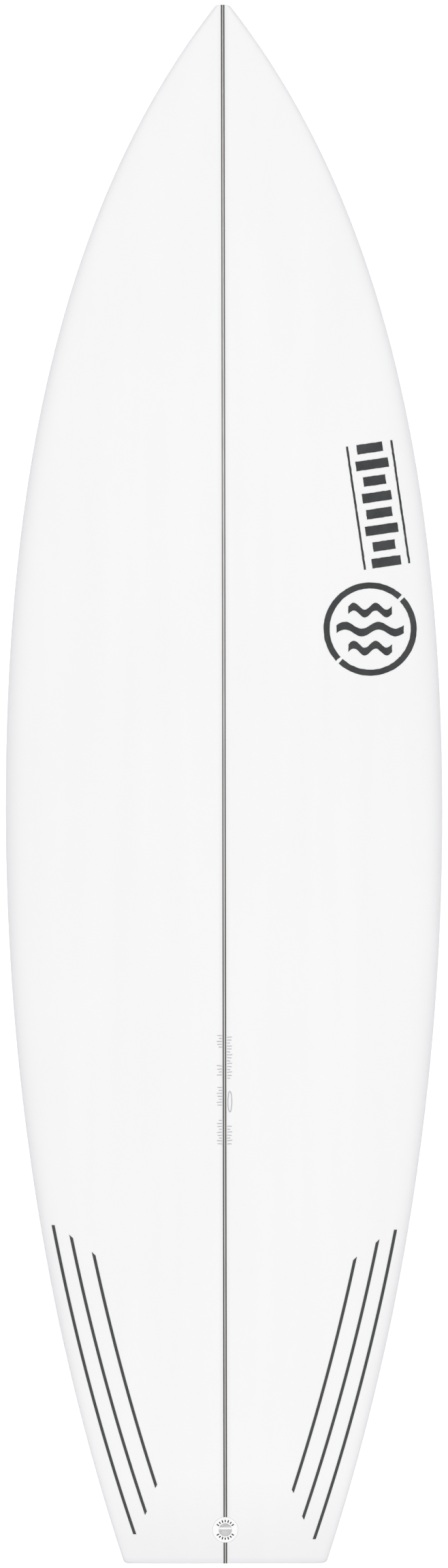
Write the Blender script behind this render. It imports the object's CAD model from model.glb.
import math

import bmesh
import bpy
import numpy as np
from mathutils import Matrix, Vector, noise


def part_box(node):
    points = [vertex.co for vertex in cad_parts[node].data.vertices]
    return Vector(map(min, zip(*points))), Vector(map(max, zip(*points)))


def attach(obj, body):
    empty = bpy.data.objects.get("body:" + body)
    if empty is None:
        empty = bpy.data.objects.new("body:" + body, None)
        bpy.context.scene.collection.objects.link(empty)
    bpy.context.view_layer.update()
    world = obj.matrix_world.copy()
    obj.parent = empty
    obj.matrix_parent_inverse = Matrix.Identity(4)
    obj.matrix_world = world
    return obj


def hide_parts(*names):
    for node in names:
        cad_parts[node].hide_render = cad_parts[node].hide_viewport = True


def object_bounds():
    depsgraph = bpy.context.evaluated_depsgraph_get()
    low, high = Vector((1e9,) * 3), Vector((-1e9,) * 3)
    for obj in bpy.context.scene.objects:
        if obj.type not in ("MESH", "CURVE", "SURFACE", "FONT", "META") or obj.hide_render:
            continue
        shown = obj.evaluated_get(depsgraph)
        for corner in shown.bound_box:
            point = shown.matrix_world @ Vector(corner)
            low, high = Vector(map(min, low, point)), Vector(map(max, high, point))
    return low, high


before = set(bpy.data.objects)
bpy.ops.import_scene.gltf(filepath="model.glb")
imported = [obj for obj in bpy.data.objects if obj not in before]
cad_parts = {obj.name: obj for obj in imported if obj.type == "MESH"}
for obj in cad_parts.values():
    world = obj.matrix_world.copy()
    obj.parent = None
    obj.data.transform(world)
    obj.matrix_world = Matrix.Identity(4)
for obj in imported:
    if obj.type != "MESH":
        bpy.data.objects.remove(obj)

noise.seed_set(5)
scene = bpy.context.scene
cadLow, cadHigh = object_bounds()

# the camera looks straight down on the deck, with the nose at the top of the frame
shot = {
    "lens": 440,            # long, so the nose and tail keep their true size
    "sensor": 36,
    "filled": 0.99466,      # share of the frame's height that the board fills
    "roll": -0.1,           # degrees, as the board lies a little askew
}

bottomLow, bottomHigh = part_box("bottom_laminate")
boardLength = bottomHigh[1] - bottomLow[1]
boardWidth = bottomHigh[0] - bottomLow[0]
standHeight = bottomLow[2]


def aimCamera():
    data = bpy.data.cameras.new("deckCamera")
    data.lens = shot["lens"]
    data.sensor_width = shot["sensor"]
    data.sensor_fit = "AUTO"
    camera = bpy.data.objects.new("deckCamera", data)
    scene.collection.objects.link(camera)
    # the nose lifts more than the tail, so the two ends lie at different distances
    tailZ = standHeight + board["tailRocker"] + board["apex"] * board["tailThick"]
    noseZ = standHeight + board["noseRocker"] + board["apex"] * board["tipThick"]
    halfView = shot["sensor"] / 2 / shot["lens"]
    reach = boardLength / 2 / (halfView * shot["filled"])
    height = reach + (tailZ + noseZ) / 2
    shift = boardLength / 2 * (noseZ - tailZ) / (2 * reach)
    camera.location = (0, shift, height)
    camera.rotation_euler = (0, 0, math.radians(shot["roll"]))
    data.clip_end = height * 2
    scene.camera = camera


light = {
    "skyTop": (1.0, 1.0, 1.0),
    "skySide": (0.93, 0.93, 0.97),
    "skyTurn": 0.6,         # how far up the sky is fully white
    "skyPower": 0.5,
    "panelPower": 935,
    "panelSize": 20.0,
    "panelHeight": 7.0,
    "floorColour": (0.97, 0.97, 0.97),
    "floorGlow": 0.3,
    "floorGloss": 0.1,
    "floorSize": 60.0,
}


def lightStudio():
    world = bpy.data.worlds.new("studioWorld")
    scene.world = world
    world.use_nodes = True
    tree = world.node_tree
    tree.nodes.clear()
    place = addNode(tree, "ShaderNodeTexCoord")
    split = addNode(tree, "ShaderNodeSeparateXYZ")
    ramp = addNode(tree, "ShaderNodeValToRGB")
    back = addNode(tree, "ShaderNodeBackground", Strength=light["skyPower"])
    out = addNode(tree, "ShaderNodeOutputWorld")
    for stop, position, colour in zip(ramp.color_ramp.elements, (0.0, light["skyTurn"]),
                                      (light["skySide"], light["skyTop"])):
        stop.position = position
        stop.color = (*colour, 1)
    link(place.outputs["Generated"], split.inputs[0])
    link(split.outputs["Z"], ramp.inputs["Fac"])
    link(ramp.outputs["Color"], back.inputs["Color"])
    link(back.outputs[0], out.inputs["Surface"])

    panel = bpy.data.lights.new("overheadPanel", "AREA")
    panel.shape = "SQUARE"
    panel.size = light["panelSize"]
    panel.energy = light["panelPower"]
    lamp = bpy.data.objects.new("overheadPanel", panel)
    lamp.location = (0, 0, light["panelHeight"])
    scene.collection.objects.link(lamp)
    scene.view_settings.view_transform = "Standard"


def onCircle(radius, degrees):
    angle = math.radians(degrees)
    return radius * math.cos(angle), radius * math.sin(angle)


def makePiece(name, verts, faces, sharpAt=32):
    mesh = bpy.data.meshes.new(name)
    mesh.from_pydata([tuple(v) for v in verts], [], faces)
    tidyMesh(mesh, sharpAt)
    piece = bpy.data.objects.new(name, mesh)
    scene.collection.objects.link(piece)
    return piece


def tidyMesh(mesh, sharpAt):
    work = bmesh.new()
    work.from_mesh(mesh)
    bmesh.ops.remove_doubles(work, verts=work.verts, dist=2e-6)
    bmesh.ops.dissolve_degenerate(work, edges=work.edges, dist=1e-6)
    bmesh.ops.recalc_face_normals(work, faces=work.faces)
    work.to_mesh(mesh)
    work.free()
    mesh.shade_smooth()
    mesh.set_sharp_from_angle(angle=math.radians(sharpAt))


def applyModifiers(piece):
    bpy.context.view_layer.update()
    ready = piece.evaluated_get(bpy.context.evaluated_depsgraph_get())
    fresh = bpy.data.meshes.new_from_object(ready)
    piece.modifiers.clear()
    piece.data = fresh


def carve(piece, cutters, operation="DIFFERENCE", sharpAt=32):
    for cutter in cutters:
        step = piece.modifiers.new("carve", "BOOLEAN")
        step.solver = "EXACT"
        step.operation = operation
        step.object = cutter
    applyModifiers(piece)
    for cutter in cutters:
        bpy.data.objects.remove(cutter)
    tidyMesh(piece.data, sharpAt)


def dress(piece, material, slotName, body, *nodes):
    piece.data.materials.clear()
    piece.data.materials.append(material)
    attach(piece, body)
    if nodes:
        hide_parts(*nodes)


def gridFaces(rows, columns, start=0, flip=False, closed=False):
    faces = []
    for i in range(rows - 1):
        for j in range(columns if closed else columns - 1):
            a = start + i * columns + j
            b = start + i * columns + (j + 1) % columns
            quad = (a, a + columns, b + columns, b)
            faces.append(quad[::-1] if flip else quad)
    return faces


def loftPiece(name, rings, sharpAt=32):
    # closed rings joined into one solid, with a face over each end
    count = len(rings[0])
    verts = [p for ring in rings for p in ring]
    faces = gridFaces(len(rings), count, closed=True)
    faces.append(tuple(range(count)))
    last = (len(rings) - 1) * count
    faces.append(tuple(range(last + count - 1, last - 1, -1)))
    return makePiece(name, verts, faces, sharpAt)


def sheetSolid(top, bottom):
    # two matching grids of points joined round their edge: verts and faces
    rows, columns = len(top), len(top[0])
    half = rows * columns
    verts = [p for row in top for p in row] + [p for row in bottom for p in row]
    faces = gridFaces(rows, columns) + gridFaces(rows, columns, half, True)
    edge = list(range(columns))
    edge += [i * columns + columns - 1 for i in range(1, rows)]
    edge += [(rows - 1) * columns + j for j in range(columns - 2, -1, -1)]
    edge += [i * columns for i in range(rows - 2, 0, -1)]
    for k, a in enumerate(edge):
        b = edge[(k + 1) % len(edge)]
        faces.append((a, b, b + half, a + half))
    return verts, faces


def joinSolids(name, solids, sharpAt=32):
    verts, faces = [], []
    for points, sides in solids:
        start = len(verts)
        verts += points
        faces += [tuple(start + k for k in side) for side in sides]
    return makePiece(name, verts, faces, sharpAt)


def lathe(name, profile, place, turns=96, sharpAt=32):
    # a profile of (radius, height) pairs turned about local Z and put in place
    rings = []
    for k in range(turns):
        angle = 2 * math.pi * k / turns
        rings.append([place @ Vector((r * math.cos(angle), r * math.sin(angle), h)) for r, h in profile])
    count = len(profile)
    verts = [p for ring in rings for p in ring]
    faces = []
    for k in range(turns):
        after = (k + 1) % turns
        for j in range(count - 1):
            faces.append((k * count + j, after * count + j, after * count + j + 1, k * count + j + 1))
    return makePiece(name, verts, faces, sharpAt)


def newMaterial(name, colour, roughness):
    material = bpy.data.materials.new(name)
    material.use_nodes = True
    shader = material.node_tree.nodes["Principled BSDF"]
    setSocket(shader, "Base Color", (*colour, 1))
    setSocket(shader, "Roughness", roughness)
    return material, shader


def setSocket(shader, name, value):
    shader.inputs[name].default_value = value


def coat(shader, weight, roughness):
    setSocket(shader, "Coat Weight", weight)
    setSocket(shader, "Coat Roughness", roughness)


resin = {"specular": 0.12, "gloss": 0.35, "roughness": 0.1, "index": 1.52}


def underResin(shader):
    # what lies under the resin shines with the resin's gloss, not its own
    setSocket(shader, "Specular IOR Level", resin["specular"])
    coat(shader, resin["gloss"], resin["roughness"])


def addNode(tree, kind, **settings):
    node = tree.nodes.new(kind)
    for key, value in settings.items():
        if key in node.inputs:
            setSocket(node, key, value)
        else:
            setattr(node, key, value)
    return node


# each helper below adds its nodes to the tree of the socket that it is given

def link(source, target):
    source.id_data.links.new(source, target)


def objectPlace(material, scale=(1, 1, 1)):
    place = addNode(material.node_tree, "ShaderNodeTexCoord")
    stretch = addNode(material.node_tree, "ShaderNodeMapping", Scale=scale)
    link(place.outputs["Object"], stretch.inputs["Vector"])
    return stretch.outputs["Vector"]


def axesOf(material, kind="Object"):
    split = addNode(material.node_tree, "ShaderNodeSeparateXYZ")
    link(addNode(material.node_tree, "ShaderNodeTexCoord").outputs[kind], split.inputs[0])
    return split.outputs


def wire(shader, colour, roughness=None, normal=None):
    for name, source in (("Base Color", colour), ("Roughness", roughness), ("Normal", normal)):
        if source is not None:
            link(source, shader.inputs[name])


def noiseOf(vector, scale, detail=2.0, roughness=0.5):
    grain = addNode(vector.id_data, "ShaderNodeTexNoise", Scale=scale, Detail=detail, Roughness=roughness)
    link(vector, grain.inputs["Vector"])
    return grain.outputs["Fac"]


def colourSockets(sockets):
    return [socket for socket in sockets if socket.type == "RGBA"]


def blendColours(factor, low, high):
    blend = addNode(factor.id_data, "ShaderNodeMix", data_type="RGBA")
    link(factor, blend.inputs["Factor"])
    for target, value in zip(colourSockets(blend.inputs), (low, high)):
        if isinstance(value, tuple):
            target.default_value = (*value, 1)
        else:
            link(value, target)
    return colourSockets(blend.outputs)[0]


def spread(value, low, high, fromLow=0.0, fromHigh=1.0):
    ranged = addNode(value.id_data, "ShaderNodeMapRange")
    for key, number in (("From Min", fromLow), ("From Max", fromHigh), ("To Min", low), ("To Max", high)):
        setSocket(ranged, key, number)
    link(value, ranged.inputs["Value"])
    return ranged.outputs["Result"]


def compute(operation, first, second=None):
    step = addNode(first.id_data, "ShaderNodeMath", operation=operation)
    link(first, step.inputs[0])
    if isinstance(second, (int, float)):
        step.inputs[1].default_value = second
    elif second is not None:
        link(second, step.inputs[1])
    return step.outputs[0]


def times(first, second):
    return compute("MULTIPLY", first, second)


def bumpFrom(height, distance, strength=1.0):
    bump = addNode(height.id_data, "ShaderNodeBump", Strength=strength, Distance=distance)
    link(height, bump.inputs["Height"])
    return bump.outputs["Normal"]


# the curves of the outline, rocker and foil, as distances and as shares of the length
board = {
    "thick": 0.0603, "tailWidth": 0.2355, "tipWidth": 0.017,
    "tailThick": 0.021, "tipThick": 0.011,
    "widePoint": 0.484, "lowPoint": 0.47, "thickPoint": 0.5,
    "tailRocker": 0.056, "noseRocker": 0.120,
    "noseRun": 2.1, "tailRun": 2.4, "foilRun": 1.92,
    "apex": 0.42,               # height of the rail apex, share of the thickness
    "dome": 2.6, "roll": 1.9,   # deck crown and its roll into the rail
    "tailEdge": 20, "noseEdge": 5,
    "tailCorner": 0.004, "tipCorner": 0.002, "edgeRound": 0.0022,
    "skin": 0.0008, "soak": 0.0002,     # the resin soaks a little way into the foam
    "halfStringer": 0.0021,
    "tailReach": 0.175, "tailFlare": 0.77, "wideRear": 0.1386,
    "wideFront": 0.207, "noseReach": 0.1277, "noseFull": 0.743,
    "tailStations": 70, "noseStations": 84, "deckSteps": 28, "underSteps": 22,
}


def bezier(a, b, c, d, t):
    u = 1 - t
    return u ** 3 * a + 3 * u * u * t * b + 3 * u * t * t * c + t ** 3 * d


def tailCurve(t):
    rise = (boardWidth - board["tailWidth"]) / 2
    wideS = board["widePoint"] * boardLength
    s = bezier(0, board["tailReach"] * boardLength, wideS - board["wideRear"] * boardLength, wideS, t)
    w = bezier(board["tailWidth"] / 2, board["tailWidth"] / 2 + board["tailFlare"] * rise,
               boardWidth / 2, boardWidth / 2, t)
    return s, w


def noseCurve(t):
    rise = (boardWidth - board["tipWidth"]) / 2
    wideS = board["widePoint"] * boardLength
    s = bezier(wideS, wideS + board["wideFront"] * boardLength,
               boardLength * (1 - board["noseReach"]), boardLength, t)
    w = bezier(boardWidth / 2, boardWidth / 2,
               board["tipWidth"] / 2 + board["noseFull"] * rise, board["tipWidth"] / 2, t)
    return s, w


def cornerCut(radius, distance):
    if distance >= radius:
        return 0.0
    return radius - math.sqrt(max(0.0, radius ** 2 - (radius - distance) ** 2))


def listStations():
    # (distance from the tail, half-width), closer together round the end corners
    rounds = [(1 - math.cos(math.radians(a))) for a in (0, 12, 25, 38, 52, 66, 79, 90)]
    points = []
    for k in rounds:
        t = k * board["tailCorner"] / (3 * board["tailReach"] * boardLength)
        points.append(tailCurve(t))
    points += [tailCurve(k / board["tailStations"]) for k in range(1, board["tailStations"] + 1)]
    points += [noseCurve(k / board["noseStations"]) for k in range(1, board["noseStations"])]
    for k in rounds[::-1]:
        t = k * board["tailCorner"] / (3 * board["noseReach"] * boardLength)
        points.append(noseCurve(1 - t))
    return [(s, w - cornerCut(board["tailCorner"], s) - cornerCut(board["tipCorner"], boardLength - s))
            for s, w in points]


stations = listStations()
stationS = np.array([p[0] for p in stations])
stationW = np.array([p[1] for p in stations])


def halfWidth(s):
    return float(np.interp(s, stationS, stationW))


def rockerAt(s):
    low = board["lowPoint"] * boardLength
    if s > low:
        return board["noseRocker"] * ((s - low) / (boardLength - low)) ** board["noseRun"]
    return board["tailRocker"] * ((low - s) / low) ** board["tailRun"]


def thickAt(s):
    middle = board["thickPoint"] * boardLength
    end = board["tipThick"] if s > middle else board["tailThick"]
    reach = boardLength - middle if s > middle else middle
    return end + (board["thick"] - end) * (1 - (abs(s - middle) / reach) ** board["foilRun"])


def apexAt(s):
    return standHeight + rockerAt(s) + board["apex"] * thickAt(s)


def topAt(s):
    return standHeight + rockerAt(s) + thickAt(s)


def edgePower(s):
    return board["tailEdge"] + (board["noseEdge"] - board["tailEdge"]) * s / boardLength


def endRound(s):
    return cornerCut(board["edgeRound"], min(s, boardLength - s))


def deckHalf(s, w, depth):
    # (x, z) from the rail apex up to the stringer
    flat, cut = board["halfStringer"], endRound(s)
    high = topAt(s) - depth - cut - apexAt(s)
    points = []
    for k in range(board["deckSteps"] + 1):
        a = math.pi / 2 * k / board["deckSteps"]
        across = max(0.0, math.cos(a)) ** (2 / board["dome"])
        rise = high * math.sin(a) ** (2 / board["roll"])
        points.append((flat + (w - depth - cut - flat) * across, apexAt(s) + rise))
    return points


def underHalf(s, w, depth):
    # (x, z) from the rail apex down to the stringer
    flat, cut = board["halfStringer"], endRound(s)
    low = apexAt(s) - (standHeight + rockerAt(s)) - depth - cut
    points = []
    for k in range(board["underSteps"] + 1):
        a = math.pi / 2 * (k / board["underSteps"]) ** 1.15
        across = max(0.0, math.cos(a)) ** (2 / edgePower(s))
        if k == board["underSteps"]:
            across = 0.0
        points.append((flat + (w - depth - cut - flat) * across, apexAt(s) - low * math.sin(a)))
    return points


def deckHeight(x, s, depth=0.0):
    flat = board["halfStringer"]
    across = min(1.0, max(0.0, abs(x) - flat) / (halfWidth(s) - depth - flat))
    rise = math.sqrt(max(0.0, 1 - across ** board["dome"]))
    return apexAt(s) + (topAt(s) - depth - apexAt(s)) * rise ** (2 / board["roll"])


def underHeight(x, s, depth=0.0):
    flat = board["halfStringer"]
    across = min(1.0, max(0.0, abs(x) - flat) / (halfWidth(s) - depth - flat))
    drop = math.sqrt(max(0.0, 1 - across ** edgePower(s)))
    return apexAt(s) - (apexAt(s) - standHeight - rockerAt(s) - depth) * drop


def onBoard(x, s, z):
    return Vector((x, s - boardLength / 2, z))


def innerStation(s, depth):
    return depth + s * (boardLength - 2 * depth) / boardLength


def sweepRows(half, depth):
    # rows of points across the board from rail to rail, with a row at each end down to the apex
    rows = []
    for s, w in stations:
        si = innerStation(s, depth)
        line = half(si, w, depth)
        rows.append([onBoard(-x, si, z) for x, z in line] + [onBoard(x, si, z) for x, z in line[::-1]])
    for end in (0, -1):
        si = innerStation(stations[end][0], depth)
        closing = [Vector((p.x, p.y, apexAt(si))) for p in rows[end]]
        if end == 0:
            rows.insert(0, closing)
        else:
            rows.append(closing)
    return rows


blankFinish = {
    "colour": (0.905, 0.905, 0.905), "shade": (0.885, 0.885, 0.888), "cellShade": (0.8, 0.8, 0.8),
    "railTint": (0.655, 0.65, 0.685),   # thicker resin where the cloth laps the rail
    "railTurn": (0.3, 0.96),            # how level the surface is where the tint is full, and where it ends
    "glueTint": (0.80, 0.80, 0.81), "glueReach": 0.007,     # resin drawn in along the stringer
    "tailShades": ((0.008, 0.4), (0.1, 0.22)),      # how far in from the tail's end, and how strong
    "cloud": 3.0, "cell": 1400, "streak": (40, 2.5, 40), "cellDepth": 0.00008,
    "roughness": 0.45, "roughRange": (0.4, 0.52), "specular": 0.25, "gloss": 0.35, "glossRoughness": 0.12,
}


def blankMaterial():
    look = blankFinish
    material, shader = newMaterial("shapedFoam", look["colour"], look["roughness"])
    place = objectPlace(material)
    axes = axesOf(material)
    broad = noiseOf(place, look["cloud"], 3.0)
    streak = noiseOf(objectPlace(material, look["streak"]), 1.0, 4.0)
    cells = noiseOf(place, look["cell"])
    cloudy = compute("ADD", times(broad, 0.5),
                     times(streak, 0.5))
    plain = blendColours(spread(cloudy, 0, 1, 0.35, 0.65), look["shade"], look["colour"])
    speckle = blendColours(spread(cells, 0, 0.06, 0.55, 0.75), plain, look["cellShade"])
    level = compute("ABSOLUTE", axesOf(material, "Normal")["Z"])
    tint = spread(level, 1, 0, *look["railTurn"])
    tail = -boardLength / 2
    for reach, strength in look["tailShades"]:
        nearTail = spread(axes["Y"], strength, 0, tail, tail + reach)
        tint = compute("ADD", tint, nearTail)
    tinted = blendColours(tint, speckle, look["railTint"])
    nearGlue = spread(compute("ABSOLUTE", axes["X"]), 1, 0,
                      board["halfStringer"], look["glueReach"])
    patchyGlue = times(nearGlue, spread(streak, 0.3, 1, 0.3, 0.6))
    glued = blendColours(patchyGlue, tinted, look["glueTint"])
    wire(shader, glued, spread(broad, *look["roughRange"]),
         bumpFrom(cells, look["cellDepth"], 0.4))
    setSocket(shader, "Specular IOR Level", look["specular"])
    coat(shader, look["gloss"], look["glossRoughness"])
    return material


glassFinish = {
    "colour": (0.95, 0.95, 0.965), "thin": (0.93, 0.93, 0.95), "alpha": 0.022, "roughness": 0.09,
    "weave": 1250,          # threads to the metre
    "weaveShare": 0.15, "wobble": 14.0, "depth": 0.00025,
}


def glassMaterial():
    look = glassFinish
    material, shader = newMaterial("clearGlassing", look["colour"], look["roughness"])
    axes = axesOf(material)
    wave = 2 * math.pi * look["weave"]
    warp = compute("SINE", times(axes["X"], wave))
    weft = compute("SINE", times(axes["Y"], wave))
    cloth = times(warp, weft)
    wobble = noiseOf(objectPlace(material), look["wobble"])
    surface = compute("ADD", times(cloth, look["weaveShare"]), wobble)
    wire(shader, blendColours(wobble, look["thin"], look["colour"]),
         normal=bumpFrom(surface, look["depth"], 0.25))
    setSocket(shader, "Alpha", look["alpha"])
    setSocket(shader, "IOR", resin["index"])
    return material


timberFinish = {
    "light": (1.0, 0.98, 0.95), "dark": (0.78, 0.75, 0.70), "rings": (900, 9, 900),
    # how pale the wood reads at places along the board, tail to nose
    "tones": ((0.0, 0.46), (0.2, 0.5), (0.45, 0.62), (0.7, 0.68), (0.92, 0.56), (1.0, 0.46)),
}


def toneAlong(material, tones):
    # a shade that changes from tail to nose, as (share of the length, shade) pairs
    share = spread(axesOf(material)["Y"], 0, 1, -boardLength / 2, boardLength / 2)
    ramp = addNode(material.node_tree, "ShaderNodeValToRGB")
    stops = ramp.color_ramp.elements
    while len(stops) < len(tones):
        stops.new(0.5)
    for stop, (position, shade) in zip(stops, tones):
        stop.position = position
        stop.color = (shade, shade, shade, 1)
    link(share, ramp.inputs["Fac"])
    return ramp.outputs["Color"]


def shaded(colour, tone):
    mix = addNode(colour.id_data, "ShaderNodeMix", data_type="RGBA", blend_type="MULTIPLY")
    setSocket(mix, "Factor", 1.0)
    for source, target in zip((colour, tone), colourSockets(mix.inputs)):
        link(source, target)
    return colourSockets(mix.outputs)[0]


def timberMaterial():
    look = timberFinish
    material, shader = newMaterial("stringerTimber", look["light"], 0.5)
    figure = noiseOf(objectPlace(material, look["rings"]), 1.0, 4.0, 0.6)
    grain = blendColours(spread(figure, 0, 1, 0.3, 0.7), look["dark"], look["light"])
    colour = shaded(grain, toneAlong(material, look["tones"]))
    wire(shader, colour, normal=bumpFrom(figure, 0.0001, 0.3))
    underResin(shader)
    return material


veneerFinish = {
    "pale": (1.0, 1.0, 1.0), "deep": (0.72, 0.72, 0.74), "patches": (300, 30, 300),
    # how pale each side's veneer reads at places along the board, tail to nose
    "left": ((0.0, 0.012), (0.3, 0.03), (0.45, 0.09), (0.7, 0.20), (0.9, 0.09), (1.0, 0.02)),
    "right": ((0.0, 0.012), (0.3, 0.02), (0.45, 0.05), (0.7, 0.14), (0.9, 0.07), (1.0, 0.02)),
}


def veneerMaterial(sideName):
    look = veneerFinish
    material, shader = newMaterial("stringerVeneer" + sideName.capitalize(), look["deep"], 0.42)
    patchy = noiseOf(objectPlace(material, look["patches"]), 1.0, 3.0)
    grain = blendColours(spread(patchy, 0, 1, 0.3, 0.7), look["deep"], look["pale"])
    colour = shaded(grain, toneAlong(material, look[sideName]))
    wire(shader, colour, spread(patchy, 0.35, 0.5))
    underResin(shader)
    return material


def twillMask(material, threads, across="X"):
    # 1 where a warp thread lies on top, 0 where a weft thread does: a two-by-two twill
    axes = axesOf(material)
    u = compute("FLOOR", times(axes[across], threads))
    v = compute("FLOOR", times(axes["Y"], threads))
    step = compute("FLOORED_MODULO", compute("ADD", u, v), 4.0)
    return compute("LESS_THAN", step, 1.5)


carbonFinish = {
    "warp": (0.024, 0.026, 0.027), "weft": (0.036, 0.039, 0.040), "worn": (0.055, 0.058, 0.060),
    "threads": 1100,
}


def carbonMaterial():
    look = carbonFinish
    material, shader = newMaterial("carbonTape", look["warp"], 0.4)
    over = twillMask(material, look["threads"])
    worn = noiseOf(objectPlace(material), 120.0, 3.0)
    woven = blendColours(over, look["weft"], look["warp"])
    colour = blendColours(spread(worn, 0, 0.35, 0.45, 0.8), woven, look["worn"])
    wire(shader, colour, spread(over, 0.34, 0.46), bumpFrom(over, 0.00005, 0.5))
    underResin(shader)
    return material


inkFinish = {"colour": (0.014, 0.016, 0.017), "faded": (0.042, 0.046, 0.048), "grain": 900}


def inkMaterial(name="printedInk"):
    look = inkFinish
    material, shader = newMaterial(name, look["colour"], 0.55)
    place = objectPlace(material)
    broad = noiseOf(place, 45.0, 4.0)
    grain = noiseOf(place, look["grain"], 2.0)
    patch = times(spread(broad, 0, 1, 0.4, 0.75),
                    spread(grain, 0.4, 1))
    wire(shader, blendColours(patch, look["colour"], look["faded"]),
         spread(grain, 0.48, 0.62))
    underResin(shader)
    return material


def makeGlassing():
    glass = glassMaterial()
    for name, node, half in (("deckGlassing", "deck_laminate", deckHalf),
                             ("bottomGlassing", "bottom_laminate", underHalf)):
        verts, faces = sheetSolid(sweepRows(half, 0.0), sweepRows(half, board["skin"] + board["soak"]))
        shell = makePiece(name, verts, faces)
        carve(shell, [plugCutter()] if node == "deck_laminate" else boxCutters())
        dress(shell, glass, "clear_glass", "board", node)


def blankRings(side):
    rings = []
    for s, w in stations:
        si = innerStation(s, board["skin"])
        deckLine = deckHalf(si, w, board["skin"])
        underLine = underHalf(si, w, board["skin"])
        loop = deckLine[::-1] + underLine[1:]
        rings.append([onBoard(side * x, si, z) for x, z in loop])
    return rings


def makeBlank():
    foam = blankMaterial()
    for name, node, side in (("blankLeft", "foam_left", -1), ("blankRight", "foam_right", 1)):
        half = loftPiece(name, blankRings(side))
        carve(half, [plugCutter()] + boxCutters(only=(side, 0)))
        dress(half, foam, "foam", "board", node)


stringer = {"core": 0.0016, "veneer": 0.0013, "flush": 0.00004}


def makeStringer():
    timber = timberMaterial()
    core, face = stringer["core"], stringer["veneer"]
    for name, node, low, high, finish, slotName in (
            ("stringerCore", "stringer_core", -core / 2, core / 2, timber, "timber"),
            ("stringerVeneerLeft", "stringer_face_left", -core / 2 - face, -core / 2,
             veneerMaterial("left"), "dark_ply"),
            ("stringerVeneerRight", "stringer_face_right", core / 2, core / 2 + face,
             veneerMaterial("right"), "dark_ply")):
        rings = []
        for s, w in stations:
            si = innerStation(s, board["skin"])
            top = topAt(si) - board["skin"] + stringer["flush"]
            bottom = standHeight + rockerAt(si) + board["skin"] - stringer["flush"]
            rings.append([onBoard(low, si, bottom), onBoard(low, si, top),
                          onBoard(high, si, top), onBoard(high, si, bottom)])
        strip = loftPiece(name, rings)
        carve(strip, [plugCutter()] + boxCutters(only=(0,)))
        dress(strip, finish, slotName, "board", node)


railTapes = {
    # inset from the outline and distance from the tail at the front end, then at the rear, then slant
    "outer": (0.0138, 0.392, 0.0224, 0.0346, 0.0),
    "middle": (0.0324, 0.381, 0.043, 0.057, 0.004),
    "inner": (0.055, 0.361, 0.0642, 0.088, 0.004),
    "width": 0.0035, "rightShift": 0.006, "top": 0.0003, "steps": 60, "across": 4,
}


def tapeSolid(spec, side):
    frontInset, frontS, rearInset, rearS, slant = spec
    shift = railTapes["rightShift"] if side > 0 else 0.0
    top, bottom = [], []
    for i in range(railTapes["steps"] + 1):
        t = i / railTapes["steps"]
        s = rearS + (frontS - rearS) * t - shift
        rowTop, rowBottom = [], []
        for j in range(railTapes["across"] + 1):
            k = j / railTapes["across"]
            # the inner edge stops short at both ends, so each end is cut on the slant
            sk = s - slant * k * (2 * t - 1)
            tk = (sk + shift - rearS) / (frontS - rearS)
            xk = halfWidth(sk) - (rearInset + (frontInset - rearInset) * tk) - railTapes["width"] * k
            rowTop.append(onBoard(side * xk, sk, deckHeight(xk, sk, railTapes["top"])))
            rowBottom.append(onBoard(side * xk, sk, deckHeight(xk, sk, board["skin"] + board["soak"])))
        top.append(rowTop)
        bottom.append(rowBottom)
    return sheetSolid(top, bottom)


def makeRailTapes():
    carbon = carbonMaterial()
    for side, sideName in ((-1, "left"), (1, "right")):
        for tape in ("outer", "middle", "inner"):
            verts, faces = tapeSolid(railTapes[tape], side)
            piece = makePiece("railTape" + sideName.capitalize() + tape.capitalize(), verts, faces)
            dress(piece, carbon, "carbon_tape", "board", f"strip_{sideName}_{tape}")


emblem = {
    "radius": 0.054, "station": 0.6, "inset": 0.023, "ring": 0.007, "gap": 0.004,
    "wave": 0.009, "rise": 0.004, "pitch": 0.022,
    "bars": 8, "barWidth": 0.011, "barPitch": 0.019, "barLengths": (0.034, 0.026, 0.038, 0.030),
    "from": 0.024, "rule": 0.0024, "ruleGap": 0.026, "barShift": 0.019,
    "top": 0.0004, "rough": 0.00035, "roughPitch": 260,
}


def inked(x, s, depth):
    # a printed edge is never quite clean, so each point strays a little
    pitch = emblem["roughPitch"]
    stray = noise.noise_vector(Vector((x * pitch, s * pitch, 3.1))) * emblem["rough"]
    x, s = x + stray.x, s + stray.y
    return onBoard(x, s, deckHeight(x, s, depth))


def inkPatch(rows, columns, point, top=emblem["top"]):
    # a thin sheet laid on the deck: point(u, v) gives its plan position
    layers = []
    for depth in (top, board["skin"] + board["soak"]):
        layers.append([[inked(*point(i / rows, j / columns), depth) for j in range(columns + 1)]
                       for i in range(rows + 1)])
    return sheetSolid(*layers)


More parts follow.
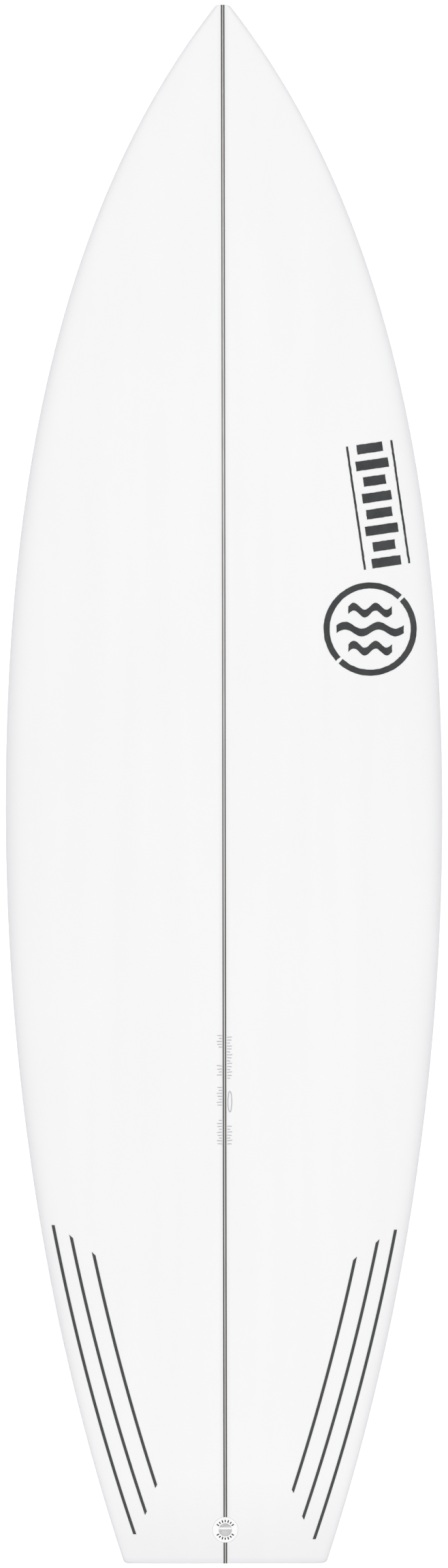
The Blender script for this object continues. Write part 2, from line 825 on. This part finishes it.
def makeEmblem():
    ink = inkMaterial()
    centreS = emblem["station"] * boardLength
    centreX = halfWidth(centreS) - emblem["inset"] - emblem["radius"]
    outer, inner = emblem["radius"], emblem["radius"] - emblem["ring"]
    solids = []
    for start in (45, 225):
        gap = math.degrees(emblem["gap"] / 2 / outer)

        def arc(u, v):
            x, y = onCircle(outer + (inner - outer) * v, start + gap + (180 - 2 * gap) * u)
            return centreX + x, centreS + y
        solids.append(inkPatch(90, 6, arc))
    for k in (-1, 0, 1):
        y = k * emblem["pitch"]
        half = math.sqrt((outer - 2 * emblem["ring"]) ** 2 - (abs(y) + emblem["wave"]) ** 2)

        def wave(u, v):
            x = half * (2 * u - 1)
            crest = emblem["rise"] * math.sin(2 * math.pi * (2 * u - 1))
            return centreX + x, centreS + y + crest + emblem["wave"] * (0.5 - v)
        solids.append(inkPatch(70, 6, wave))
    dress(joinSolids("emblemRoundel", solids), ink, "print_ink", "board", "emblem_roundel")

    barsL = (emblem["bars"] - 1) * emblem["barPitch"] + emblem["barWidth"]
    barsS = centreS + emblem["radius"] + emblem["from"]
    barsX = centreX + emblem["barShift"]
    lean = math.atan((halfWidth(barsS) - halfWidth(barsS + barsL)) / barsL)

    def bar(cx, cy, width, height):
        def point(u, v):
            x, y = cx + width * (u - 0.5), cy + height * (0.5 - v)
            return (barsX + x * math.cos(lean) - y * math.sin(lean),
                    barsS + x * math.sin(lean) + y * math.cos(lean))
        return point
    solids = []
    for k in range(emblem["bars"]):
        length = emblem["barLengths"][k % len(emblem["barLengths"])]
        solids.append(inkPatch(28, 8, bar(0, k * emblem["barPitch"], length, emblem["barWidth"])))
    for side in (-1, 1):
        middle = barsL / 2 - emblem["barWidth"] / 2
        solids.append(inkPatch(3, 120, bar(side * emblem["ruleGap"], middle, emblem["rule"], barsL)))
    dress(joinSolids("emblemBars", solids), ink, "print_ink", "board", "emblem_bars")


pencil = {
    "colour": (0.33, 0.33, 0.36), "faint": (0.55, 0.55, 0.57), "width": 0.0009, "pitch": 0.0034,
    "from": 0.0030, "reach": (0.0052, 0.0036, 0.0058), "lean": 0.25, "top": 0.0005, "grain": 1500.0,
    # runs of plain strokes beside the stringer: the side, then the distance from the tail at each end
    "runs": ((-1, 0.598, 0.610), (-1, 0.566, 0.577), (-1, 0.531, 0.550), (-1, 0.486, 0.513),
             (1, 0.562, 0.610), (1, 0.486, 0.506)),
    # a long narrow oval: its middle, then its half-width and half-length
    "loop": (0.0062, 0.535, 0.0022, 0.012), "loopTurns": 24, "lap": 1.08,
}


def makePencilMarks():
    look = pencil
    material, shader = newMaterial("softPencil", look["colour"], 0.6)
    grain = noiseOf(objectPlace(material), look["grain"], 3.0)
    wire(shader, blendColours(spread(grain, 0, 1, 0.35, 0.6),
                                        look["colour"], look["faint"]))

    def stroke(start, end):
        along = Vector(end) - Vector(start)
        aside = Vector((-along.y, along.x)).normalized() * look["width"] / 2
        return inkPatch(3, 1, lambda u, v: Vector(start) + along * u + aside * (2 * v - 1), look["top"])

    solids = []
    for side, start, stop in look["runs"]:
        for k in range(round((stop - start) / look["pitch"]) + 1):
            s = start + k * look["pitch"]
            reach = look["reach"][(k * 2 + round(start * 1000)) % 3]
            drift = look["lean"] * reach * noise.noise(Vector((k * 1.7, start * 50, side)))
            solids.append(stroke((side * look["from"], s), (side * (look["from"] + reach), s + drift)))
    middle, s, wide, long = look["loop"]
    for k in range(look["loopTurns"]):
        ends = []
        for m in (0, look["lap"]):
            x, y = onCircle(1, 360 * (k + m) / look["loopTurns"])
            ends.append((middle + wide * x, s + long * y))
        solids.append(stroke(*ends))
    dress(joinSolids("pencilTicks", solids), material, "print_ink", "board")


plug = {
    "station": 0.0397, "rim": 0.0295, "rimHeight": 0.003, "cup": 0.015, "wall": 0.0034,
    "height": 0.0155, "floor": 0.003, "lip": 0.0006, "fillet": 0.0018,
    "chamfer": 0.0008, "rimChamfer": 0.0003,
    # a fine groove round the rim, as distances in from its edge and heights
    "groove": ((0.0016, 0.00002), (0.0018, -0.0002), (0.0022, -0.0002), (0.0024, 0.00002)),
    "bar": 0.0029, "barShift": 0.0018, "barDepth": 0.003, "barLength": 0.0166, "barRoot": 0.0003,
    "barFlare": 0.0007, "barWaist": 0.0001, "barSteps": 24,
    "white": (0.94, 0.94, 0.943), "shade": (0.92, 0.92, 0.925), "roughness": 0.32, "grain": 2600.0,
    "ticks": 7, "tickPitch": 19, "tickRadius": 0.0102, "tickLengths": (0.0031, 0.0025), "tickWidth": 0.0014,
    "tickLifts": (0.00006, -0.0002), "clearance": 0.0001,
}


def plugPlace():
    s, reach = plug["station"], plug["rim"] / 2
    tilt = math.atan((topAt(s + reach) - topAt(s - reach)) / plug["rim"])
    return Matrix.Translation(onBoard(0, s, topAt(s))) @ Matrix.Rotation(tilt, 4, "X")


def plugCutter():
    place = plugPlace()
    rim = plug["rim"] / 2 + plug["clearance"]
    body = plug["cup"] / 2 + plug["wall"] + plug["clearance"]
    above = 0.01                # well clear of the deck
    return lathe("plugCutter", [(0, above), (rim, above), (rim, -plug["rimHeight"]),
                                (body, -plug["rimHeight"]), (body, -plug["height"]),
                                (0, -plug["height"])], place)


def mouldedMaterial(name, colour, shade, roughness, grain):
    material, shader = newMaterial(name, colour, roughness)
    place = objectPlace(material)
    fine = noiseOf(place, grain, 3.0)
    broad = noiseOf(place, 90.0, 2.0)
    wire(shader, blendColours(broad, shade, colour),
         spread(broad, roughness - 0.05, roughness + 0.07), bumpFrom(fine, 0.00006, 0.35))
    return material


def quarter(x, y, radius, start, turn=1):
    # points round a quarter circle about (x, y), anticlockwise, or clockwise where turn is -1
    return [(x + p, y + q) for p, q in (onCircle(radius, start + turn * a) for a in range(0, 91, 15))]


def cupProfile():
    rim, bore = plug["rim"] / 2, plug["cup"] / 2
    body, deep = bore + plug["wall"], plug["height"]
    lip, fillet, floor = plug["lip"], plug["fillet"], plug["floor"] - plug["height"]
    profile = [(0, -deep), (body - plug["chamfer"], -deep), (body, -deep + plug["chamfer"]),
               (body, -plug["rimHeight"]), (rim - plug["rimChamfer"], -plug["rimHeight"]),
               (rim, -plug["rimHeight"] + plug["rimChamfer"])]
    profile += quarter(rim - lip, -lip, lip, 0)
    profile += [(rim - inset, height) for inset, height in plug["groove"]]
    profile += quarter(bore + lip, -lip, lip, 90)
    profile += quarter(bore - fillet, floor + fillet, fillet, 0, -1)
    return profile + [(0, floor)]


def barProfile():
    # waisted a little between its roots
    radius, half = plug["bar"] / 2, plug["barLength"] / 2
    line = [(0, -half), (radius + plug["barRoot"], -half)]
    for k in range(plug["barSteps"] + 1):
        along = 2 * k / plug["barSteps"] - 1
        swell = plug["barFlare"] * abs(along) ** 9 - plug["barWaist"] * (1 - along ** 2)
        line.append((radius + swell, along * half * 0.97))
    return line + [(radius + plug["barRoot"], half), (0, half)]


def tickSolid(place, turn, length):
    outward, sideways = Vector((*onCircle(1, turn), 0)), Vector((*onCircle(1, turn + 90), 0))
    middle = outward * plug["tickRadius"]
    layers = []
    for lift in plug["tickLifts"]:
        layers.append([[place @ (middle + outward * u * length / 2 + sideways * v * plug["tickWidth"] / 2
                                 + Vector((0, 0, lift))) for v in (-1, 1)] for u in (-1, 0, 1)])
    return sheetSolid(*layers)


def makePlug():
    white = mouldedMaterial("plugNylon", plug["white"], plug["shade"], plug["roughness"], plug["grain"])
    place = plugPlace()
    dress(lathe("plugCup", cupProfile(), place, 128, 40), white, "plug_white", "board", "leash_cup")
    barPlace = place @ Matrix.Translation((0, plug["barShift"], -plug["barDepth"]))
    barPlace = barPlace @ Matrix.Rotation(math.pi / 2, 4, "Y")
    dress(lathe("plugBar", barProfile(), barPlace, 48, 50), white, "plug_white", "board", "leash_bar")
    solids = []
    for arc in (90, 270):           # plain ticks in two arcs round the rim, a long one then a short one
        for k in range(plug["ticks"]):
            turn = arc + (k - (plug["ticks"] - 1) / 2) * plug["tickPitch"]
            solids.append(tickSolid(place, turn, plug["tickLengths"][k % 2]))
    dress(joinSolids("plugMarks", solids), inkMaterial("plugInk"), "print_ink", "board")


fin = {
    "base": 0.115, "depth": 0.115, "thick": 0.0076, "tipThick": 0.0016,
    "cant": 6.5, "toe": 2.6, "sideStation": 0.280, "railGap": 0.030, "centreStation": 0.089,
    "tabLength": 0.022, "tabThick": 0.0056, "tabHeight": 0.0135, "tabSpread": 0.054,
    "gap": 0.0005, "tabRoot": 0.001, "tabCorner": 0.0012, "sideShare": 0.8, "edge": 0.00028,
    # the curves of the leading and trailing edges, as shares of the base and the depth
    "front": ((0.5, 0), (0.33, -0.42), (0.04, -0.86), (-0.64, -1)),
    "back": ((-0.5, 0), (-0.4, -0.18), (-0.44, -0.56), (-0.75, -0.94)),
    "swell": 0.12, "swellRun": 30, "tipSteps": (0.93, 0.75, 0.45), "rings": 44, "chordSteps": 26,
    # the shallow seat in each tab where its screw bears: radius, depth and height
    "seat": (0.0024, -0.0012, 0.001),
}


def finPitch(x, s):
    half = fin["base"] / 2
    return math.atan((underHeight(x, s + half) - underHeight(x, s - half)) / fin["base"])


def finPlace(side):
    # local Y runs forward along the base and local Z into the board; the left one is a mirror image
    if side == 0:
        s = fin["centreStation"] + fin["base"] / 2
        return Matrix.Translation(onBoard(0, s, underHeight(0, s))) @ Matrix.Rotation(finPitch(0, s), 4, "X")
    s = fin["sideStation"] + fin["base"] / 2
    toe, cant = math.radians(fin["toe"]), math.radians(fin["cant"])
    x = halfWidth(fin["sideStation"]) - fin["railGap"] - fin["base"] / 2 * math.sin(toe)
    place = Matrix.Translation(onBoard(x, s, underHeight(x, s))) @ Matrix.Rotation(finPitch(x, s), 4, "X")
    place = place @ Matrix.Rotation(-cant, 4, "Y") @ Matrix.Rotation(toe, 4, "Z")
    return Matrix.Diagonal((side, 1, 1, 1)) @ place


def finEdge(points, t):
    along, high = (bezier(*(point[k] for point in points), t) for k in (0, 1))
    return Vector((along * fin["base"], high * fin["depth"]))


def foilShare(c):
    # the standard four-figure aerofoil's half-thickness at a share of the chord
    return 10 * (0.2969 * math.sqrt(c) - 0.126 * c - 0.3516 * c * c + 0.2843 * c ** 3 - 0.1036 * c ** 4)


def finRings(outerShare):
    rings, count = [], fin["chordSteps"]
    steps = [(i / fin["rings"], 1.0) for i in range(fin["rings"] + 1)]
    steps += [(1.0, shrink) for shrink in fin["tipSteps"]]      # rounds off the tip
    for t, shrink in steps:
        lead, trail = finEdge(fin["front"], t), finEdge(fin["back"], t)
        swell = 1 + fin["swell"] * math.exp(-t * fin["swellRun"])
        thick = (fin["thick"] + (fin["tipThick"] - fin["thick"]) * t) * swell * shrink
        out = fin["tipThick"] * 0.5 * math.sqrt(1 - shrink ** 2)
        middle = (lead + trail) / 2
        lead, trail = (middle + (point - middle) * shrink for point in (lead, trail))
        ring = []
        for k in list(range(count + 1)) + list(range(count - 1, 0, -1)):
            upper = len(ring) <= count
            c = (1 - math.cos(math.pi * k / count)) / 2
            rounded = fin["edge"] * math.sqrt(max(0.0, 1 - (2 * c - 1) ** 16)) * shrink
            share = outerShare if upper else outerShare - 1
            x = share * max(0.0, foilShare(c)) * thick + (rounded if upper else -rounded)
            y, z = lead + (trail - lead) * c
            ring.append(Vector((x, y - out * 0.6, z - out - fin["gap"])))
        rings.append(ring)
    return rings


def roundedOutline(width, length, corner, grow=0.0, step=6):
    points = []
    for cx, cy, start in ((1, 1, 0), (-1, 1, 90), (-1, -1, 180), (1, -1, 270)):
        for a in range(0, 91, step):
            x, y = onCircle(corner + grow, start + a)
            points.append((cx * (width / 2 - corner) + x, cy * (length / 2 - corner) + y))
    return points


def roundedBlock(name, size, centre, radius, place):
    # a block with rounded upright corners and eased ends
    width, length, height = size
    low, high = 0.3 * radius, 0.4 * radius
    rings = []
    for z, grow in ((-height / 2, -low), (low - height / 2, 0), (height / 2 - high, 0), (height / 2, -high)):
        rings.append([place @ (Vector(centre) + Vector((x, y, z)))
                      for x, y in roundedOutline(width, length, radius, grow, 15)])
    return loftPiece(name, rings)


def screwPlace(side, end):
    lean = math.radians(screw["lean"])
    x = -fin["tabThick"] / 2 - screw["tipGap"] - screw["diameter"] / 2 * math.cos(lean)
    return (finPlace(side) @ Matrix.Translation((x, end * fin["tabSpread"] / 2, screw["depth"]))
            @ Matrix.Rotation(math.pi + lean, 4, "Y"))


finFinish = {
    "warp": (0.030, 0.032, 0.034), "weft": (0.045, 0.047, 0.050), "cloud": (0.06, 0.062, 0.066),
    "threads": 520,
    "roughness": 0.35, "gloss": 0.6, "glossRoughness": 0.08,
}


def finMaterial():
    look = finFinish
    material, shader = newMaterial("finComposite", look["warp"], look["roughness"])
    over = twillMask(material, look["threads"], "Z")
    cloudy = noiseOf(objectPlace(material), 25.0, 3.0)
    woven = blendColours(over, look["weft"], look["warp"])
    colour = blendColours(spread(cloudy, 0, 0.5, 0.4, 0.8), woven, look["cloud"])
    wire(shader, colour, spread(cloudy, 0.3, 0.42), bumpFrom(over, 0.00005, 0.3))
    coat(shader, look["gloss"], look["glossRoughness"])
    return material


sideNames = {-1: "left", 1: "right", 0: "centre"}


def makeFins():
    composite = finMaterial()
    for side, sideName in sideNames.items():
        place = finPlace(side)
        rings = [[place @ p for p in ring] for ring in finRings(0.5 if side == 0 else fin["sideShare"])]
        blade = loftPiece("fin" + sideName.capitalize(), rings, 50)
        tabs, seats = [], []
        radius, deep, high = fin["seat"]
        for end in (-1, 1):
            size = (fin["tabThick"], fin["tabLength"], fin["tabHeight"] + fin["gap"] + fin["tabRoot"])
            centre = (0, end * fin["tabSpread"] / 2, fin["tabHeight"] - size[2] / 2)
            tabs.append(roundedBlock("tab", size, centre, fin["tabCorner"], place))
        carve(blade, tabs, "UNION", 50)
        for end in (-1, 1):
            seats.append(lathe("seat", [(0, deep), (radius, deep), (radius, high), (0, high)],
                               screwPlace(side, end), 32))
        carve(blade, seats, "DIFFERENCE", 50)
        dress(blade, composite, "fin_composite", f"fin_{sideName}", f"fin_{sideName}")


box = {
    "length": 0.108, "width": 0.026, "height": 0.017, "corner": 0.006,
    "innerEdge": (0.97, 0.985, 0.0006),     # how the inner end's edge is eased: across, along and in height
    "slotGap": 0.0003, "slotCorner": 0.0013, "slotAbove": 0.006,
    "mouthGrow": 0.0014, "mouthHeight": 0.0024, "mouthDepth": 0.0005, "mouthCorner": 0.0018,
    "threadGap": 0.00005, "sinkGrow": 0.0004, "sinkDepth": 0.0008, "sinkAbove": 0.008,
    "faceRings": 14, "faceLift": 0.00008, "rimLift": 0.00012, "rimHeight": 0.0004,
    "cutGap": 0.00002, "cutAbove": 0.012,
    "white": (0.80, 0.80, 0.80), "shade": (0.72, 0.72, 0.72), "roughness": 0.42, "grain": 1800.0,
}


def boxOutline(grow=0.0):
    return roundedOutline(box["width"], box["length"], box["corner"], grow)


def boxCutters(only=(-1, 1, 0)):
    cutters = []
    for side in only:
        place = finPlace(side)
        rings = [[place @ Vector((x, y, z)) for x, y in boxOutline(box["cutGap"])]
                 for z in (-box["cutAbove"], box["height"])]
        cutters.append(loftPiece("boxCutter", rings))
    return cutters


def toBottom(place, x, y, lift):
    # the point of the board's bottom straight along local Z from (x, y), found in a few steps
    inward = place.to_3x3() @ Vector((0, 0, 1))
    point = place @ Vector((x, y, 0))
    for _ in range(4):
        gap = underHeight(point.x, point.y + boardLength / 2) + lift - point.z
        point = point + inward * (gap / inward.z)
    return point


def screwLength():
    return (screw["depth"] - screw["sink"]) / math.cos(math.radians(screw["lean"]))


def slotCutters(place, end):
    # the tab's slot, and a shallow wider mouth that eases its edge
    gap = box["slotGap"]
    size = (fin["tabThick"] + 2 * gap, fin["tabLength"] + 2 * gap, fin["tabHeight"] + gap + box["slotAbove"])
    middle = end * fin["tabSpread"] / 2
    mouth = (size[0] + box["mouthGrow"], size[1] + box["mouthGrow"], box["mouthHeight"])
    return [roundedBlock("slotCutter", size, (0, middle, fin["tabHeight"] + gap - size[2] / 2),
                         box["slotCorner"], place),
            roundedBlock("mouthCutter", mouth, (0, middle, -box["mouthDepth"]), box["mouthCorner"], place)]


def boreCutter(side, end):
    hole, length = screw["diameter"] / 2 + box["threadGap"], screwLength()
    sink = hole + box["sinkGrow"]
    past, above = -0.001, length + box["sinkAbove"]
    profile = [(0, past), (hole, past), (hole, length), (sink, length + box["sinkDepth"]),
               (sink, above), (0, above)]
    return lathe("boreCutter", profile, screwPlace(side, end), 48)


def makeBoxes():
    nylon = mouldedMaterial("boxNylon", box["white"], box["shade"], box["roughness"], box["grain"])
    outline = boxOutline()
    across, along, ease = box["innerEdge"]
    for side, sideName in sideNames.items():
        place = finPlace(side)
        rings = [[place @ Vector((x * across, y * along, box["height"])) for x, y in outline],
                 [place @ Vector((x, y, box["height"] - ease)) for x, y in outline],
                 [toBottom(place, x, y, box["rimHeight"]) for x, y in outline]]
        for k in range(box["faceRings"]):       # the flush face, in rings towards the middle
            f = 1 - k / box["faceRings"]
            lift = box["faceLift"] if k else box["rimLift"]
            rings.append([toBottom(place, x * f, y * f, lift) for x, y in outline])
        block = loftPiece("finBox" + sideName.capitalize(), rings)
        cutters = []
        for end in (-1, 1):
            cutters += slotCutters(place, end) + [boreCutter(side, end)]
        carve(block, cutters, "DIFFERENCE", 30)
        dress(block, nylon, "box_white", "board", f"fin_box_{sideName}")


screw = {
    "diameter": 0.004, "depth": 0.007, "sink": 0.001, "lean": 30, "tipGap": 0.0003,
    "pitch": 0.0007, "groove": 0.00022, "chamfer": 0.0005, "turns": 40, "rows": 72,
    # the hexagonal socket, and its cutter's height from the screw's end with its share of the width
    "socket": 0.0024, "socketLevels": ((-0.0022, 1.0), (-0.0002, 1.0), (0.0004, 1.35)),
}


steelFinish = {
    "colour": (0.62, 0.63, 0.64), "dull": (0.5, 0.5, 0.51), "bright": (0.68, 0.69, 0.7),
    "scratches": (2500, 2500, 400), "tarnish": 400.0,
}


def steelMaterial():
    look = steelFinish
    material, shader = newMaterial("screwSteel", look["colour"], 0.3)
    setSocket(shader, "Metallic", 1.0)
    scratches = noiseOf(objectPlace(material, look["scratches"]), 1.0, 3.0)
    tarnish = noiseOf(objectPlace(material), look["tarnish"])
    wire(shader, blendColours(tarnish, look["dull"], look["bright"]),
         spread(scratches, 0.22, 0.42), bumpFrom(scratches, 0.00002, 0.3))
    return material


def screwRings(place):
    length, full = screwLength(), screw["diameter"] / 2
    rings = []
    for i in range(screw["rows"] + 1):
        h = length * i / screw["rows"]
        limit = full - max(0.0, screw["chamfer"] - min(h, length - h))
        ring = []
        for j in range(screw["turns"]):
            turn = j / screw["turns"]
            depth = screw["groove"] * (0.5 - 0.5 * math.cos(2 * math.pi * (h / screw["pitch"] + turn)))
            x, y = onCircle(min(limit, full - depth), 360 * turn)
            ring.append(place @ Vector((x, y, h)))
        rings.append(ring)
    return rings


def makeScrews():
    steel = steelMaterial()
    for side, sideName in sideNames.items():
        for end, endName in ((1, "front"), (-1, "rear")):
            place = screwPlace(side, end)
            pieceName = "grubScrew" + sideName.capitalize() + endName.capitalize()
            body = loftPiece(pieceName, screwRings(place), 60)
            socket = []
            for h, share in screw["socketLevels"]:
                corners = [onCircle(share * screw["socket"] / 2, 60 * k) for k in range(6)]
                socket.append([place @ Vector((x, y, screwLength() + h)) for x, y in corners])
            carve(body, [loftPiece("socketCutter", socket)], "DIFFERENCE", 40)
            node = f"screw_{sideName}_{endName}"
            dress(body, steel, "screw_steel", node, node)


def layFloor():
    half, ground = light["floorSize"] / 2, cadLow[2]
    corners = [(x * half, y * half, ground) for x, y in ((-1, -1), (1, -1), (1, 1), (-1, 1))]
    floor = makePiece("paleFloor", corners, [(0, 1, 2, 3)])
    material, shader = newMaterial("paleFloor", light["floorColour"], 0.9)
    setSocket(shader, "Specular IOR Level", light["floorGloss"])
    setSocket(shader, "Emission Color", (1, 1, 1, 1))
    setSocket(shader, "Emission Strength", light["floorGlow"])
    # nothing of the floor shows from beneath, so the fins can be seen from there
    clear = addNode(material.node_tree, "ShaderNodeBsdfTransparent")
    sides = addNode(material.node_tree, "ShaderNodeMixShader")
    facing = addNode(material.node_tree, "ShaderNodeNewGeometry")
    link(facing.outputs["Backfacing"], sides.inputs["Fac"])
    link(shader.outputs[0], sides.inputs[1])
    link(clear.outputs[0], sides.inputs[2])
    link(sides.outputs[0], material.node_tree.nodes["Material Output"].inputs["Surface"])
    floor.data.materials.append(material)


aimCamera()
print("camera set")
lightStudio()
layFloor()
print("studio lit")
makeBlank()
makeStringer()
print("blank and stringer shaped")
makeGlassing()
print("board glassed")
makeRailTapes()
makeEmblem()
makePencilMarks()
print("tapes and emblem laid")
makePlug()
print("leash plug set")
makeFins()
makeBoxes()
makeScrews()
print("fins, boxes and screws fitted")
